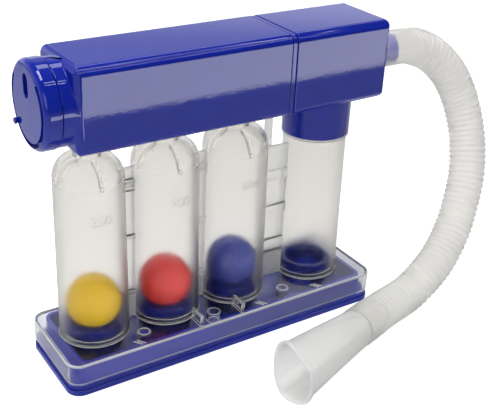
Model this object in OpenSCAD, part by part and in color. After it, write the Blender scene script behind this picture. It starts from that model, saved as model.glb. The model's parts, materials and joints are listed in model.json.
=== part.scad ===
// Three-ball breathing trainer: a blue base tray with a clear cover, three clear ball columns and
// a clear down column, a blue duct on top with a turning shutter at its left end, and a ribbed
// hose with a mouthpiece. Origin: centre of the base's underside. +X runs along the base towards
// the hose port, +Y to the back, +Z up.

/* [Base] */
// Distance from the base's left end to the axis of the left ball column
left_margin = 23; // [21:0.5:27]
// Distance from the axis of the down column to the base's right end
right_margin = 27.6; // [24:0.1:32]
// Width of the base
base_w = 51; // [48:0.5:58]
// Radius of the base's corners
base_corner_r = 7; // [5:0.5:9]
// Height of the tray's proud foot flange
foot_h = 2.8; // [2.4:0.2:4]
// Height of the recessed band above the foot flange
band_h = 3; // [2.2:0.2:5]
// Depth of the recessed band behind the foot flange
band_depth = 0.9; // [0.6:0.1:1.2]
// Wall and floor thickness of the tray
tray_t = 2; // [1.6:0.1:2.4]
// Gap between the tray's inner wall and the ends of the cover
tray_end_gap = 4.5; // [3:0.5:6]
// Height of the clear cover
cover_h = 10.7; // [9.5:0.1:14]
// Wall thickness of the clear cover
cover_t = 1.6; // [1.2:0.1:2]

/* [Columns] */
// Distance from one ball column to the next
column_pitch = 38; // [36:0.5:44]
// Distance from the right ball column to the down column
down_pitch = 47.4; // [46:0.1:56]
// Outer diameter of the columns
column_d = 33; // [31:0.5:34]
// Wall thickness of the columns
column_t = 1.5; // [1.2:0.1:1.6]
// How much a column's radius shrinks from the cover to its top, for drawing it from its mould
column_draft = 0.6; // [0.2:0.1:0.8]
// Height of a column's straight wall above the cover
column_h = 80; // [70:1:110]
// Height of the round shoulder on top of a ball column
dome_h = 11; // [9:0.5:12]
// Outer diameter of the neck on top of a ball column
neck_d = 13; // [12:0.5:14]
// Stretch of the neck that shows between the shoulder and the duct
neck_show = 6.7; // [4:0.1:12]
// Stretch of the neck inside the duct
neck_in = 6; // [4:0.5:8]
// Thickness of the ball-stop ribs in a dome
stop_rib_t = 1.4; // [1:0.1:2]

/* [Balls and seats] */
// Gap between a ball and its column
ball_play = 2; // [1.6:0.1:3]
// Gap between a ball seat and its column
seat_play = 2; // [1.6:0.1:2.6]
// Wall thickness of a ball seat
seat_wall = 4.2; // [3.8:0.1:6]
// Height of a seat's rim above the cover
seat_rise = 6.3; // [5:0.1:10]
// Width of the air windows in the left seat
window_left_w = 10; // [8:0.5:12]
// Width of the air windows in the middle seat
window_middle_w = 7.5; // [6:0.5:8]
// Width of the air windows in the right seat
window_right_w = 5; // [3:0.5:6]

/* [Duct] */
// Height of the duct and outer diameter of the regulator cap
duct_h = 39; // [37.4:0.2:44]
// How much narrower than high the duct is
duct_narrow = 0.1; // [0:0.1:1]
// Wall thickness of the duct
duct_t = 2; // [1.6:0.1:2.4]
// Radius of the duct's long edges
duct_edge_r = 4; // [3:0.5:6]
// Radius of the edges round the duct's end faces
duct_end_r = 3.2; // [1:0.2:3.6]
// Distance from the left column's axis to the duct's left end
duct_left_over = 12.25; // [11:0.05:16]
// Thickness of the divider between the two duct sections
divider_t = 3; // [2.4:0.1:4]
// Distance from the divider to the down column's axis
divider_back = 28; // [24:0.1:30]
// Distance from the down column's axis to the duct's right end
duct_right_over = 27.3; // [22:0.1:30]
// Length of the collar that holds the down column
collar_l = 18.2; // [14:0.1:24]
// Wall thickness of that collar
collar_t = 1; // [0.8:0.1:2]
// Outer diameter of the hose spigot
spigot_d = 16; // [15:0.1:16.4]
// Length of the hose spigot
spigot_l = 16; // [12:0.5:20]
// Wall thickness of the hose spigot
spigot_t = 1.4; // [1.2:0.1:2]
// Height of the hose spigot's axis above the duct's underside
spigot_up = 17.5; // [15:0.5:22]

/* [Regulator] */
// How much smaller across than the cap the neck that carries it is
neck_step = 0.8; // [0.4:0.1:1.6]
// Length of that neck
regulator_neck_l = 5.05; // [4:0.05:8]
// Length of the regulator cap
cap_l = 8.1; // [7.4:0.1:10]
// Radius of the cap's outer rim
cap_rim_r = 3; // [2:0.2:3.4]
// Thickness of the cap's face
cap_face_t = 1.8; // [1.4:0.1:2.2]
// Thickness of the cap's side wall
cap_side_t = 1.5; // [1.2:0.1:1.8]
// Distance from the cap's side in to the middle of the C-shaped slot
slot_in = 2.9; // [2.8:0.1:3.2]
// Width of the C-shaped slot
slot_w = 1.9; // [1.8:0.1:2.1]
// Height of the oval air port
port_h = 10.4; // [9:0.2:10.6]
// Width of the oval air port
port_w = 5; // [4.6:0.2:6]
// Thickness of the shutter disc
shutter_t = 1.3; // [1:0.1:1.6]

/* [Hose and mouthpiece] */
// Outer diameter of the hose over its ribs
hose_d = 19.6; // [19:0.1:20]
// Outer diameter of the hose between its ribs
hose_root_d = 18; // [17.6:0.1:18.4]
// Bore of the hose
hose_bore_d = 16; // [15:0.1:16.4]
// Distance from one rib to the next
rib_pitch = 3; // [2.8:0.1:4]
// Outer diameter of the cuff on the spigot
port_cuff_d = 18; // [17.8:0.1:19]
// Outer diameter of the cuff on the mouthpiece
mouth_cuff_d = 20; // [19.6:0.1:21]
// Length of the cuff on the mouthpiece
mouth_cuff_l = 16; // [14:0.5:20]
// Length of the mouthpiece from the cuff to its lip
mouthpiece_l = 52.5; // [45:0.5:60]
// Outer diameter of the mouthpiece at the cuff
mouthpiece_d = 19.2; // [18.6:0.1:19.6]
// Long diameter of the oval mouth opening
mouth_long_d = 30.5; // [28:0.5:34]
// Short diameter of the oval mouth opening
mouth_short_d = 21; // [19.5:0.5:24]
// Wall thickness of the mouthpiece
mouthpiece_t = 1.2; // [1:0.1:1.5]
// Turn of the oval about the mouthpiece's own axis, in degrees
mouth_turn = 6; // [0:1:45]
// Distance from the mouthpiece's axis to the flat on its upper front, at the lip
mouth_flat = 9.6; // [9.2:0.1:10.6]
// Turn of that flat from the oval's long axis, in degrees
mouth_flat_turn = 142; // [120:1:160]

/* [Hidden] */
$fn = 96;
over = 0.5;
slip = 0.05;
gap = 0.3;
locate = 0.15;
arc_step = 6;

// Colours as they show in daylight
blue = [0.16, 0.18, 0.62];
clear = [0.86, 0.87, 0.88, 0.5];
milky = [0.88, 0.88, 0.86];
yellow = [0.88, 0.72, 0.16];
red = [0.85, 0.2, 0.17];
ball_blue_colour = [0.2, 0.24, 0.62];

// Places along X and levels along Z
base_l = left_margin + 2 * column_pitch + down_pitch + right_margin;
left_x = left_margin - base_l / 2;
middle_x = left_x + column_pitch;
right_x = middle_x + column_pitch;
down_x = right_x + down_pitch;
column_xs = [left_x, middle_x, right_x, down_x];
cover_z0 = foot_h + band_h;
cover_z1 = cover_z0 + cover_h;
column_r = column_d / 2;
column_in_r = column_r - column_t;
column_top_r = column_r - column_draft;
column_top_in_r = column_in_r - column_draft;
seat_r = column_in_r - seat_play;
ball_r = column_in_r - ball_play;
dome_z = cover_z1 + column_h;
neck_r = neck_d / 2;
duct_z0 = dome_z + dome_h + neck_show;
duct_z1 = duct_z0 + duct_h;
duct_w = duct_h - duct_narrow;
axis_z = (duct_z0 + duct_z1) / 2;
duct_x0 = left_x - duct_left_over;
divider_x1 = down_x - divider_back;
divider_x0 = divider_x1 - divider_t;
duct_x1 = down_x + duct_right_over;

// Tray
rib_t = 1.6;
skirt_clear = 0.2;
tray_side_gap = 0.5;
seat_ring_h = 1.2;
seat_ring_t = 1;
post_r = 2.2;
post_back = 19;
post_down_back = 24.4;
post_y = 14.4;
post_places = [[left_x + post_back, post_y], [left_x + post_back, -post_y],
    [down_x - post_down_back, post_y], [down_x - post_down_back, -post_y]];

// Cover
hole_r = seat_r + locate;
rim_h = 2;
boss_t = 0.8;
boss_h = 5;
mark_r = 3;
mark_t = 0.5;
mark_h = 0.4;
ear_l = 9.5;
ear_h = 5;
ear_t = 1.4;
ear_lean = 12;
ear_frame = 1.3;
ear_front = 1.7;
ear_left_over = 7;
ear_right_back = 7.5;
ear_xs = [middle_x + ear_left_over, right_x - ear_right_back];
peg_r = 3.4;
peg_t = 0.8;
peg_h = 5;
peg_over = 15;
peg_x = middle_x + peg_over;
tick_l = 4.5;
tick_t = 0.6;
tick_pitch = 1.8;
tick_turn = 35;
tick_back = 4.2;
tick_left_over = 12.4;
tick_right_over = 4.3;
tick_down_back = 8.8;
tick_xs = [left_x + tick_left_over, right_x + tick_right_over, down_x - tick_down_back];

// Seats
seat_z0 = cover_z0;
seat_z1 = cover_z1 + seat_rise;
seat_in_r = seat_r - seat_wall;
window_up = 0.6;
window_down = 0.8;
window_turn = 45;
window_z0 = seat_z0 + seat_ring_h + window_up;
window_z1 = cover_z1 - cover_t - window_down;
down_spigot_t = 2;
down_window_w = 12;

// Balls rest on the seat's inner edge
ball_lift = 0.1;
ball_z = seat_z1 + sqrt(ball_r * ball_r - seat_in_r * seat_in_r) + ball_lift;

// Ball-stop ribs lie on the dome's inside, round the ball's top place
stop_drop = 4.1;
stop_clear = 0.3;
stop_z = dome_z - stop_drop;
stop_tip = 1.5;

// Bead on the down column under the collar
bead_h = 0.8;

// Webs
web_t = 1.2;
web_pane_t = 0.7;
web_stile = 1.1;
web_rung_t = 2.6;
web_narrow_h = 80.5;
web_wide_h = 74.9;
web_narrow_rungs = [[11.5, 1.8], [13.9, 1.6], [43.5, 2], [68.5, 2], [72.3, 2]];
web_wide_rungs = [[14, 1.2], [18.5, 3.7], [37.5, 4.3], [56.1, 5.4]];
web_tab_w = 4.5;
web_tab_over = 0.2;
web_oval_r = 3.2;
web_oval_h = 10;
web_oval_up = 7.2;

// Regulator
cap_d = duct_h;
regulator_neck_d = duct_h - neck_step;
slot_r = cap_d / 2 - slot_in;
neck_wall_t = 2.8;
neck_x0 = duct_x0 - regulator_neck_l;
neck_spigot_r = cap_d / 2 - cap_side_t - slip;
neck_bore_r = regulator_neck_d / 2 - neck_wall_t;
cap_x1 = neck_x0 - slip;
cap_x0 = cap_x1 - cap_l;
cap_in_x = cap_x0 + cap_face_t;
shutter_x0 = cap_in_x + gap;
shutter_x1 = shutter_x0 + shutter_t;
shutter_clear = 0.4;
shutter_r = cap_d / 2 - cap_side_t - shutter_clear;
spigot_end_x = shutter_x1 + gap;
pivot_r = 2;
retainer_t = 1;
retainer_r = 4.2;
port_up = 8.7;
slot_start = 136;
slot_sweep = 259;
slot_ease = 0.03;
nub_angle = 320;
nub_stem_r = 0.7;
nub_r = 1.4;
nub_h = 1.2;
crescent_start = 5;
crescent_full = 100;
crescent_sweep = 210;
crescent_tip_w = 2;
crescent_steps = 28;

// Hose: its middle line as distance past the cuff on the spigot, place in Y, and height as it
// is with the spigot's axis at the first point's height
hose_axis_z = duct_z0 + spigot_up;
cuff_gap = 0.5;
cuff_x1 = duct_x1 + spigot_l + cuff_gap;
hose_start_gap = 0.1;
hose_points = [[0, 0, 131.7], [4.9, 0, 131.7], [9.9, 0, 131.4], [14.9, 0, 130.6],
    [19.9, -0.3, 129.1], [25, -1.5, 126.8], [29.5, -3.2, 123.6], [35, -6, 118.1], [39.6, -8.8, 111],
    [43, -12.3, 102], [44.3, -16.5, 92.5], [44, -21, 83], [42, -25.6, 73], [38, -30.5, 62.3],
    [32, -35, 51.5], [25, -39, 41], [17, -42.3, 32], [8, -45, 24.6], [-0.6, -46.4, 19.1],
    [-7.4, -46.9, 14.8], [-14, -47.6, 12.6], [-21.2, -49.2, 12.42], [-27.8, -50.9, 12.65],
    [-34, -52.75, 12.9], [-40, -54.7, 13.19]];
hose_route = [for (p = hose_points)
    [cuff_x1 + hose_start_gap + p[0], p[1], p[2] * hose_axis_z / hose_points[0][2]]];
route_steps = 8;
hose_sides = 8;
smooth_l = 15;
swell_d = 19;
bore_step = 6;
probe = 0.5;

// Mouthpiece
insert_l = 12;
insert_t = 1.1;
insert_step = 0.9;
mouth_insert_r = mouthpiece_d / 2 - insert_step;
lip_out = 0.8;
lip_l = 2;
mouthpiece_sides = 32;
oval_fullness = 0.2;
flare_shares = [0, 0.12, 0.3, 0.5, 0.7, 0.86];

// A rounded rectangle centred on its middle
module rounded(l, w, r) {
    hull_r = min(r, l / 2, w / 2);
    union() {
        square([l - 2 * hull_r, w], center = true);
        square([l, w - 2 * hull_r], center = true);
        for (sx = [-1, 1], sy = [-1, 1])
            translate([sx * (l / 2 - hull_r), sy * (w / 2 - hull_r)]) circle(hull_r);
    }
}

// A rounded slab from one level to another
module slab(l, w, r, z0, z1) {
    translate([0, 0, z0]) linear_extrude(z1 - z0) rounded(l, w, r);
}

// A cylinder along X from x0 to x1 at height z
module rod_x(r, x0, x1, z) {
    translate([x0, 0, z]) rotate([0, 90, 0]) cylinder(r = r, h = x1 - x0);
}

// A flat drawing in Y and Z, made thick along X
module wall_x(x0, x1, z) {
    translate([x0, 0, z]) rotate([90, 0, 90]) linear_extrude(x1 - x0) children();
}

module tray_wall_outline(inset) {
    rounded(base_l - 2 * (cover_t + tray_end_gap + inset),
        base_w - 2 * (cover_t + tray_side_gap + inset),
        base_corner_r - cover_t - tray_side_gap - inset);
}

module base_tray() color(blue) {
    wall_top = cover_z1 - cover_t - slip;
    difference() {
        union() {
            slab(base_l, base_w, base_corner_r, 0, foot_h);
            slab(base_l - 2 * band_depth, base_w - 2 * band_depth,
                base_corner_r - band_depth, 0, cover_z0);
        }
        slab(base_l - 2 * (band_depth + tray_t), base_w - 2 * (band_depth + tray_t),
            base_corner_r - band_depth - tray_t, -over, cover_z0 - tray_t);
    }
    // Ribs under the floor, flush with the foot
    for (x = concat([0], column_xs))
        translate([x - rib_t / 2, -base_w / 2 + tray_t, 0])
            cube([rib_t, base_w - 2 * tray_t, cover_z0 - tray_t / 2]);
    for (y = [-base_w / 6, 0, base_w / 6])
        translate([-base_l / 2 + tray_t, y - rib_t / 2, 0])
            cube([base_l - 2 * tray_t, rib_t, cover_z0 - tray_t / 2]);
    // Wall of the air chamber
    translate([0, 0, cover_z0 - tray_t / 2]) linear_extrude(wall_top - cover_z0 + tray_t / 2)
        difference() {
            tray_wall_outline(0);
            tray_wall_outline(tray_t);
        }
    // Rings that locate the seats, and posts for the cover
    for (x = column_xs)
        translate([x, 0, cover_z0 - tray_t / 2]) difference() {
            cylinder(r = hole_r + seat_ring_t, h = seat_ring_h + tray_t / 2);
            translate([0, 0, tray_t / 2]) cylinder(r = hole_r, h = seat_ring_h + over);
        }
    for (p = post_places)
        translate([p[0], p[1], cover_z0 - tray_t / 2])
            cylinder(r = post_r, h = wall_top - cover_z0 + tray_t / 2);
}

module ear(x) {
    translate([x, -base_w / 2 + ear_front, cover_z1]) rotate([0, ear_lean, 0]) difference() {
        translate([-ear_t / 2, 0, -cover_t / 2]) cube([ear_t, ear_l, ear_h + cover_t / 2]);
        translate([-ear_t, ear_frame, ear_frame])
            cube([2 * ear_t, ear_l - 2 * ear_frame, ear_h - 2 * ear_frame]);
    }
}

module manifold_cover() color(clear) {
    out_l = base_l - 2 * skirt_clear;
    out_w = base_w - 2 * skirt_clear;
    difference() {
        union() {
            slab(out_l, out_w, base_corner_r - skirt_clear, cover_z0, cover_z1);
            for (x = column_xs)
                translate([x, 0, cover_z1 - over]) cylinder(r = column_in_r - locate, h = rim_h + over);
            translate([peg_x, -base_w / 2 + skirt_clear + peg_r, cover_z1 - over])
                cylinder(r = peg_r, h = peg_h + over);
        }
        slab(out_l - 2 * cover_t, out_w - 2 * cover_t, base_corner_r - skirt_clear - cover_t,
            cover_z0 - over, cover_z1 - cover_t);
        for (x = column_xs)
            translate([x, 0, cover_z0]) cylinder(r = hole_r, h = cover_h + rim_h + over);
        translate([peg_x, -base_w / 2 + skirt_clear + peg_r, cover_z1])
            cylinder(r = peg_r - peg_t, h = peg_h + over);
    }
    // Sockets under the top that take the tray's posts
    for (p = post_places)
        translate([p[0], p[1], cover_z1 - cover_t - boss_h]) difference() {
            cylinder(r = post_r + locate + boss_t, h = boss_h + cover_t / 2);
            translate([0, 0, -over]) cylinder(r = post_r + locate, h = boss_h + over);
        }
    // Ring marks over the sockets
    for (p = post_places)
        translate([p[0], p[1], cover_z1 - over]) difference() {
            cylinder(r = mark_r, h = mark_h + over);
            cylinder(r = mark_r - mark_t, h = mark_h + 2 * over);
        }
    for (x = ear_xs) ear(x);
    for (x = tick_xs, k = [0, 1])
        translate([x + k * tick_pitch, -base_w / 2 + tick_back, cover_z1 - over])
            rotate([0, 0, tick_turn])
                translate([-tick_t / 2, -tick_l / 2, 0]) cube([tick_t, tick_l, mark_h + over]);
}

// Half outline of a domed column, outside or inside by its wall
module dome_profile(foot_r, shoulder_r, top_r, rise, z0, z1) {
    arc = [for (a = [0 : arc_step : 90])
        [top_r + (shoulder_r - top_r) * cos(a), dome_z + rise * sin(a)]];
    polygon(concat([[0, z0], [foot_r, z0]], arc, [[top_r, z1], [0, z1]]));
}

module column(x) {
    neck_z1 = duct_z0 + neck_in;
    translate([x, 0, 0]) rotate_extrude() difference() {
        dome_profile(column_r, column_top_r, neck_r, dome_h, cover_z1, neck_z1);
        dome_profile(column_in_r, column_top_in_r, neck_r - column_t, dome_h - column_t,
            cover_z1 - over, neck_z1 + over);
    }
    // Four stop ribs between the dome and the ball at the top of its travel
    mid_r = column_top_in_r + column_t / 2;
    translate([x, 0, 0]) difference() {
        intersection() {
            rotate_extrude()
                dome_profile(mid_r, mid_r, neck_r - column_t / 2, dome_h - column_t / 2,
                    dome_z - stop_tip, dome_z + dome_h);
            for (a = [0, 90])
                rotate([0, 0, a]) translate([-column_r, -stop_rib_t / 2, dome_z - stop_tip])
                    cube([column_d, stop_rib_t, dome_h + stop_tip]);
        }
        translate([0, 0, stop_z]) sphere(ball_r + stop_clear);
        translate([0, 0, dome_z]) cylinder(r = neck_r - column_t, h = dome_h + over);
        translate([0, 0, dome_z - 2 * stop_tip]) cylinder(r = ball_r + stop_clear, h = 2 * stop_tip);
    }
}

module column_left() color(clear) column(left_x);
module column_middle() color(clear) column(middle_x);
module column_right() color(clear) column(right_x);

// Tapers up to a bead that the collar sits on, and stands straight in the collar
module down_column() color(clear) {
    bead_z1 = duct_z0 - collar_l - slip;
    bead_z0 = bead_z1 - bead_h;
    bead_r = column_top_r + slip + collar_t;
    z1 = duct_z0 - gap;
    translate([down_x, 0, 0]) rotate_extrude()
        polygon([[column_in_r, cover_z1], [column_r, cover_z1], [column_top_r, bead_z0],
            [bead_r, bead_z0], [bead_r, bead_z1], [column_top_r, bead_z1],
            [column_top_r, z1], [column_top_in_r, z1], [column_top_in_r, bead_z0]]);
}

// Outline of a web between two levels above the cover, its sides along the tapered columns
module web_outline(x0, x1, z0, z1) {
    spread = column_draft / column_h;
    polygon([[x0 - spread * z0, z0], [x1 + spread * z0, z0],
        [x1 + spread * z1, z1], [x0 - spread * z1, z1]]);
}

// A drawing in X and Z, made thick to both sides of the columns' plane
module panel(t) {
    translate([0, t / 2, cover_z1]) rotate([90, 0, 0]) linear_extrude(t) children();
}

// Ladder panel that stands on the cover between two columns
module web(x0, x1, h, rungs) {
    panel(web_pane_t) web_outline(x0, x1, 0, h);
    panel(web_t) difference() {
        web_outline(x0, x1, 0, h);
        web_outline(x0 + web_stile, x1 - web_stile, web_stile, h - web_stile);
    }
    for (rung = rungs) panel(web_rung_t) web_outline(x0, x1, rung[0], rung[0] + rung[1]);
}

module web_left() color(clear)
    web(left_x + column_r + slip, middle_x - column_r - slip, web_narrow_h, web_narrow_rungs);
module web_middle() color(clear)
    web(middle_x + column_r + slip, right_x - column_r - slip, web_narrow_h, web_narrow_rungs);
module web_right() color(clear) {
    x0 = right_x + column_r + slip;
    x1 = down_x - column_r - slip;
    difference() {
        web(x0, x1, web_wide_h, web_wide_rungs);
        // Oval dent in the lowest pane
        for (s = [-1, 1])
            translate([(x0 + x1) / 2, s * web_t / 2, cover_z1 + web_oval_up])
                rotate([90, 0, 0]) translate([0, 0, -web_pane_t / 2])
                    linear_extrude(web_pane_t) scale_oval();
    }
    translate([divider_x0 + web_tab_over, -web_pane_t / 2, cover_z1 + web_wide_h - over])
        cube([web_tab_w, web_pane_t, duct_z0 - slip - cover_z1 - web_wide_h + over]);
}

module scale_oval() {
    reach = web_oval_h / 2 - web_oval_r;
    translate([-web_oval_r, -reach]) square([2 * web_oval_r, 2 * reach]);
    for (s = [-1, 1]) translate([0, s * reach]) circle(web_oval_r);
}

// Ring that stands on the tray and comes up through the cover
module foot_ring(x, bore_r, window_w) {
    translate([x, 0, seat_z0]) difference() {
        cylinder(r = seat_r, h = seat_z1 - seat_z0);
        translate([0, 0, -over]) cylinder(r = bore_r, h = seat_z1 - seat_z0 + 2 * over);
        for (a = [0, 90])
            rotate([0, 0, a + window_turn])
                translate([-2 * seat_r, -window_w / 2, window_z0 - seat_z0])
                    cube([4 * seat_r, window_w, window_z1 - window_z0]);
    }
}

module seat_left() color(blue) foot_ring(left_x, seat_in_r, window_left_w);
module seat_middle() color(blue) foot_ring(middle_x, seat_in_r, window_middle_w);
module seat_right() color(blue) foot_ring(right_x, seat_in_r, window_right_w);
module down_spigot() color(blue)
    foot_ring(down_x, seat_r - down_spigot_t, down_window_w);

module ball_yellow() color(yellow) translate([left_x, 0, ball_z]) sphere(ball_r);
module ball_red() color(red) translate([middle_x, 0, ball_z]) sphere(ball_r);
module ball_blue() color(ball_blue_colour) translate([right_x, 0, ball_z]) sphere(ball_r);

// Block with the duct's rounded section; far_end says which end face has rounded edges
module duct_block(x0, x1, inset, far_end) {
    l = x1 - x0;
    r = duct_edge_r - inset;
    end_r = max(duct_end_r - inset / 2, duct_end_r / 2);
    long = l + 2 * duct_w;
    shift = far_end > 0 ? x1 - long / 2 : x0 + long / 2;
    intersection() {
        wall_x(x0, x1, axis_z) rounded(duct_w - 2 * inset, duct_h - 2 * inset, r);
        translate([shift, 0, duct_z0]) linear_extrude(duct_h)
            rounded(long, duct_w - 2 * inset, end_r);
        translate([shift, duct_w / 2, axis_z]) rotate([90, 0, 0]) linear_extrude(duct_w)
            rounded(long, duct_h - 2 * inset, end_r);
    }
}

module duct_housing() color(blue) {
    difference() {
        union() {
            duct_block(duct_x0, divider_x0, 0, -1);
            rod_x(regulator_neck_d / 2, neck_x0, duct_x0 + duct_t + duct_end_r, axis_z);
            rod_x(neck_spigot_r, spigot_end_x, neck_x0 + over, axis_z);
        }
        duct_block(duct_x0 + duct_t, divider_x0 + over, duct_t, -1);
        rod_x(neck_bore_r, spigot_end_x - over, duct_x0 + duct_t + over, axis_z);
        for (x = [left_x, middle_x, right_x])
            translate([x, 0, duct_z0 - over]) cylinder(r = neck_r + locate, h = duct_t + 2 * over);
    }
    // Sockets that take the column necks
    for (x = [left_x, middle_x, right_x])
        translate([x, 0, duct_z0 + duct_t / 2]) difference() {
            cylinder(r = neck_r + locate + duct_t, h = neck_in);
            translate([0, 0, -over]) cylinder(r = neck_r + locate, h = neck_in + 2 * over);
        }
}

module duct_divider() color(blue) {
    plug_w = duct_w - 2 * (duct_t + locate);
    plug_h = duct_h - 2 * (duct_t + locate);
    wall_x(divider_x0 + slip, divider_x1 - slip, axis_z)
        rounded(duct_w - 2 * locate, duct_h - 2 * locate, duct_edge_r - locate);
    wall_x(divider_x0 - duct_t, divider_x0 + divider_t / 2, axis_z)
        rounded(plug_w, plug_h, duct_edge_r - duct_t - locate);
    wall_x(divider_x1 - divider_t / 2, divider_x1 + duct_t, axis_z)
        rounded(plug_w, plug_h, duct_edge_r - duct_t - locate);
}

module port_housing() color(blue) {
    bore_r = column_top_r + slip;
    difference() {
        union() {
            duct_block(divider_x1, duct_x1, 0, 1);
            translate([down_x, 0, duct_z0 - collar_l])
                cylinder(r = bore_r + collar_t, h = collar_l + duct_t / 2);
            rod_x(spigot_d / 2, duct_x1 - duct_t, duct_x1 + spigot_l, hose_axis_z);
        }
        duct_block(divider_x1 - over, duct_x1 - duct_t, duct_t, 1);
        translate([down_x, 0, duct_z0 - collar_l - over]) cylinder(r = bore_r, h = collar_l + over);
        translate([down_x, 0, duct_z0 - over])
            cylinder(r = column_top_in_r, h = duct_t + 2 * over);
        rod_x(spigot_d / 2 - spigot_t, duct_x1 - duct_t - over, duct_x1 + spigot_l + over,
            hose_axis_z);
    }
}

module oval_port() {
    reach = (port_h - port_w) / 2;
    translate([-port_w / 2, port_up - reach]) square([port_w, 2 * reach]);
    for (s = [-1, 1]) translate([0, port_up + s * reach]) circle(port_w / 2);
}

module regulator_cap() color(blue) {
    r = cap_d / 2;
    rim = [for (a = [0 : arc_step : 90])
        [r - cap_rim_r + cap_rim_r * sin(a), cap_rim_r - cap_rim_r * cos(a)]];
    face_depth = cap_face_t + 2 * over;
    difference() {
        union() {
            difference() {
                translate([cap_x0, 0, axis_z]) rotate([0, 90, 0]) rotate_extrude()
                    polygon(concat([[0, 0]], rim, [[r, cap_l], [0, cap_l]]));
                rod_x(r - cap_side_t, cap_in_x, cap_x1 + over, axis_z);
            }
            rod_x(pivot_r, cap_x0 + cap_face_t / 2, shutter_x1 + gap + retainer_t + slip, axis_z);
        }
        translate([cap_x0 - over, 0, axis_z]) rotate([90, 0, 90]) {
            linear_extrude(face_depth) oval_port();
            rotate([0, 0, slot_start]) rotate_extrude(angle = slot_sweep)
                translate([slot_r - slot_w / 2, 0]) square([slot_w, face_depth]);
            for (a = [slot_start, slot_start + slot_sweep])
                rotate([0, 0, a]) translate([slot_r, 0, 0])
                    cylinder(r = slot_w / 2 + slot_ease, h = face_depth);
        }
    }
}

// Crescent window that opens and closes the air port as the disc turns
module crescent() {
    taper = (crescent_tip_w - port_h) / (crescent_sweep - crescent_full);
    function half_w(a) = (port_h + taper * max(a - crescent_full, 0)) / 2;
    angles = [for (k = [0 : crescent_steps]) crescent_sweep * k / crescent_steps];
    outer = [for (a = angles)
        (port_up + half_w(a)) * [cos(a + crescent_start), sin(a + crescent_start)]];
    inner = [for (k = [crescent_steps : -1 : 0]) let (a = angles[k])
        (port_up - half_w(a)) * [cos(a + crescent_start), sin(a + crescent_start)]];
    polygon(concat(outer, inner));
}

module shutter_disc() color(blue)
    translate([0, 0, axis_z]) {
        nub_y = slot_r * cos(nub_angle);
        nub_z = slot_r * sin(nub_angle);
        difference() {
            wall_x(shutter_x0, shutter_x1, 0) circle(shutter_r);
            wall_x(shutter_x0 - over, shutter_x1 + over, 0) crescent();
            rod_x(pivot_r + slip, shutter_x0 - over, shutter_x1 + over, 0);
        }
        translate([0, nub_y, nub_z]) {
            rod_x(nub_stem_r, cap_x0 - gap - over, shutter_x0 + over, 0);
            rod_x(nub_r, cap_x0 - gap - nub_h, cap_x0 - gap, 0);
        }
    }

module shutter_retainer() color(blue) {
    x0 = shutter_x1 + gap;
    difference() {
        rod_x(retainer_r, x0, x0 + retainer_t, axis_z);
        rod_x(pivot_r + slip / 2, x0 - over, x0 + retainer_t + over, axis_z);
    }
}

module hose_port_cuff() color(milky) {
    difference() {
        rod_x(port_cuff_d / 2, duct_x1 + cuff_gap, cuff_x1, hose_axis_z);
        rod_x(spigot_d / 2 + slip, duct_x1, cuff_x1 + over, hose_axis_z);
    }
}

// Smooth line through the route's points, and places along it by distance
function bend(a, b, c, d, t) = (2 * b + (c - a) * t + (2 * a - 5 * b + 4 * c - d) * t * t
    + (3 * b - a - 3 * c + d) * t * t * t) / 2;
last = len(hose_route) - 1;
line = concat([for (i = [0 : last - 1], k = [0 : route_steps - 1])
    bend(hose_route[max(i - 1, 0)], hose_route[i], hose_route[i + 1],
        hose_route[min(i + 2, last)], k / route_steps)], [hose_route[last]]);
runs = [for (i = 0, s = 0; i < len(line);
    s = s + (i + 1 < len(line) ? norm(line[i + 1] - line[i]) : 0), i = i + 1) s];
tables = [for (axis = [0 : 2]) [for (i = [0 : len(line) - 1]) [runs[i], line[i][axis]]]];
hose_l = runs[len(runs) - 1];
function at(s) = [for (axis = [0 : 2]) lookup(s, tables[axis])];
function unit(v) = v / norm(v);
function tangent(s) = unit(at(min(s + probe, hose_l)) - at(max(s - probe, 0)));
function level(v, t) = unit(v - (v * t) * t);

// Places and radii of the hose's rings: smooth end, swelling, ribs, end
rib_count = floor((hose_l - smooth_l) / rib_pitch);
rib_start = hose_l - rib_count * rib_pitch;
outer_rings = concat([[0, port_cuff_d / 2], [rib_start - rib_pitch, port_cuff_d / 2],
    [rib_start - rib_pitch / 2, swell_d / 2]],
    [for (k = [0 : rib_count - 1], half = [0, 1])
        [rib_start + (k + half / 2) * rib_pitch, (half > 0 ? hose_d : hose_root_d) / 2]],
    [[hose_l, hose_root_d / 2]]);
bore_count = floor(hose_l / bore_step);
bore_rings = [for (k = [0 : bore_count]) [hose_l * k / bore_count, hose_bore_d / 2]];

function normals(rings) = [for (i = 0, n = level([0, 0, 1], tangent(rings[0][0]));
    i < len(rings); i = i + 1,
    n = i < len(rings) ? level(n, tangent(rings[i][0])) : n) n];
function ring_points(rings) = let (ns = normals(rings))
    [for (i = [0 : len(rings) - 1], k = [0 : hose_sides - 1])
        let (t = tangent(rings[i][0]), n = ns[i], b = cross(t, n), a = 360 * k / hose_sides)
        at(rings[i][0]) + rings[i][1] * (cos(a) * n + sin(a) * b)];
// Triangles between rings of points that follow each other, seen from outside
function skin(rings_n, sides, first) = [for (i = [0 : rings_n - 2], k = [0 : sides - 1], half = [0, 1])
    let (a = first + i * sides + k, b = first + i * sides + (k + 1) % sides)
    half > 0 ? [a, b + sides, b] : [a, a + sides, b + sides]];
function flipped(faces) = [for (f = faces) [f[2], f[1], f[0]]];
// Ring of triangles that closes a wall's end
function rim_faces(outer_first, inner_first, sides) = [for (k = [0 : sides - 1], half = [0, 1])
    let (a = outer_first + k, b = outer_first + (k + 1) % sides,
        c = inner_first + k, d = inner_first + (k + 1) % sides)
    half > 0 ? [a, d, c] : [a, b, d]];

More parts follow.
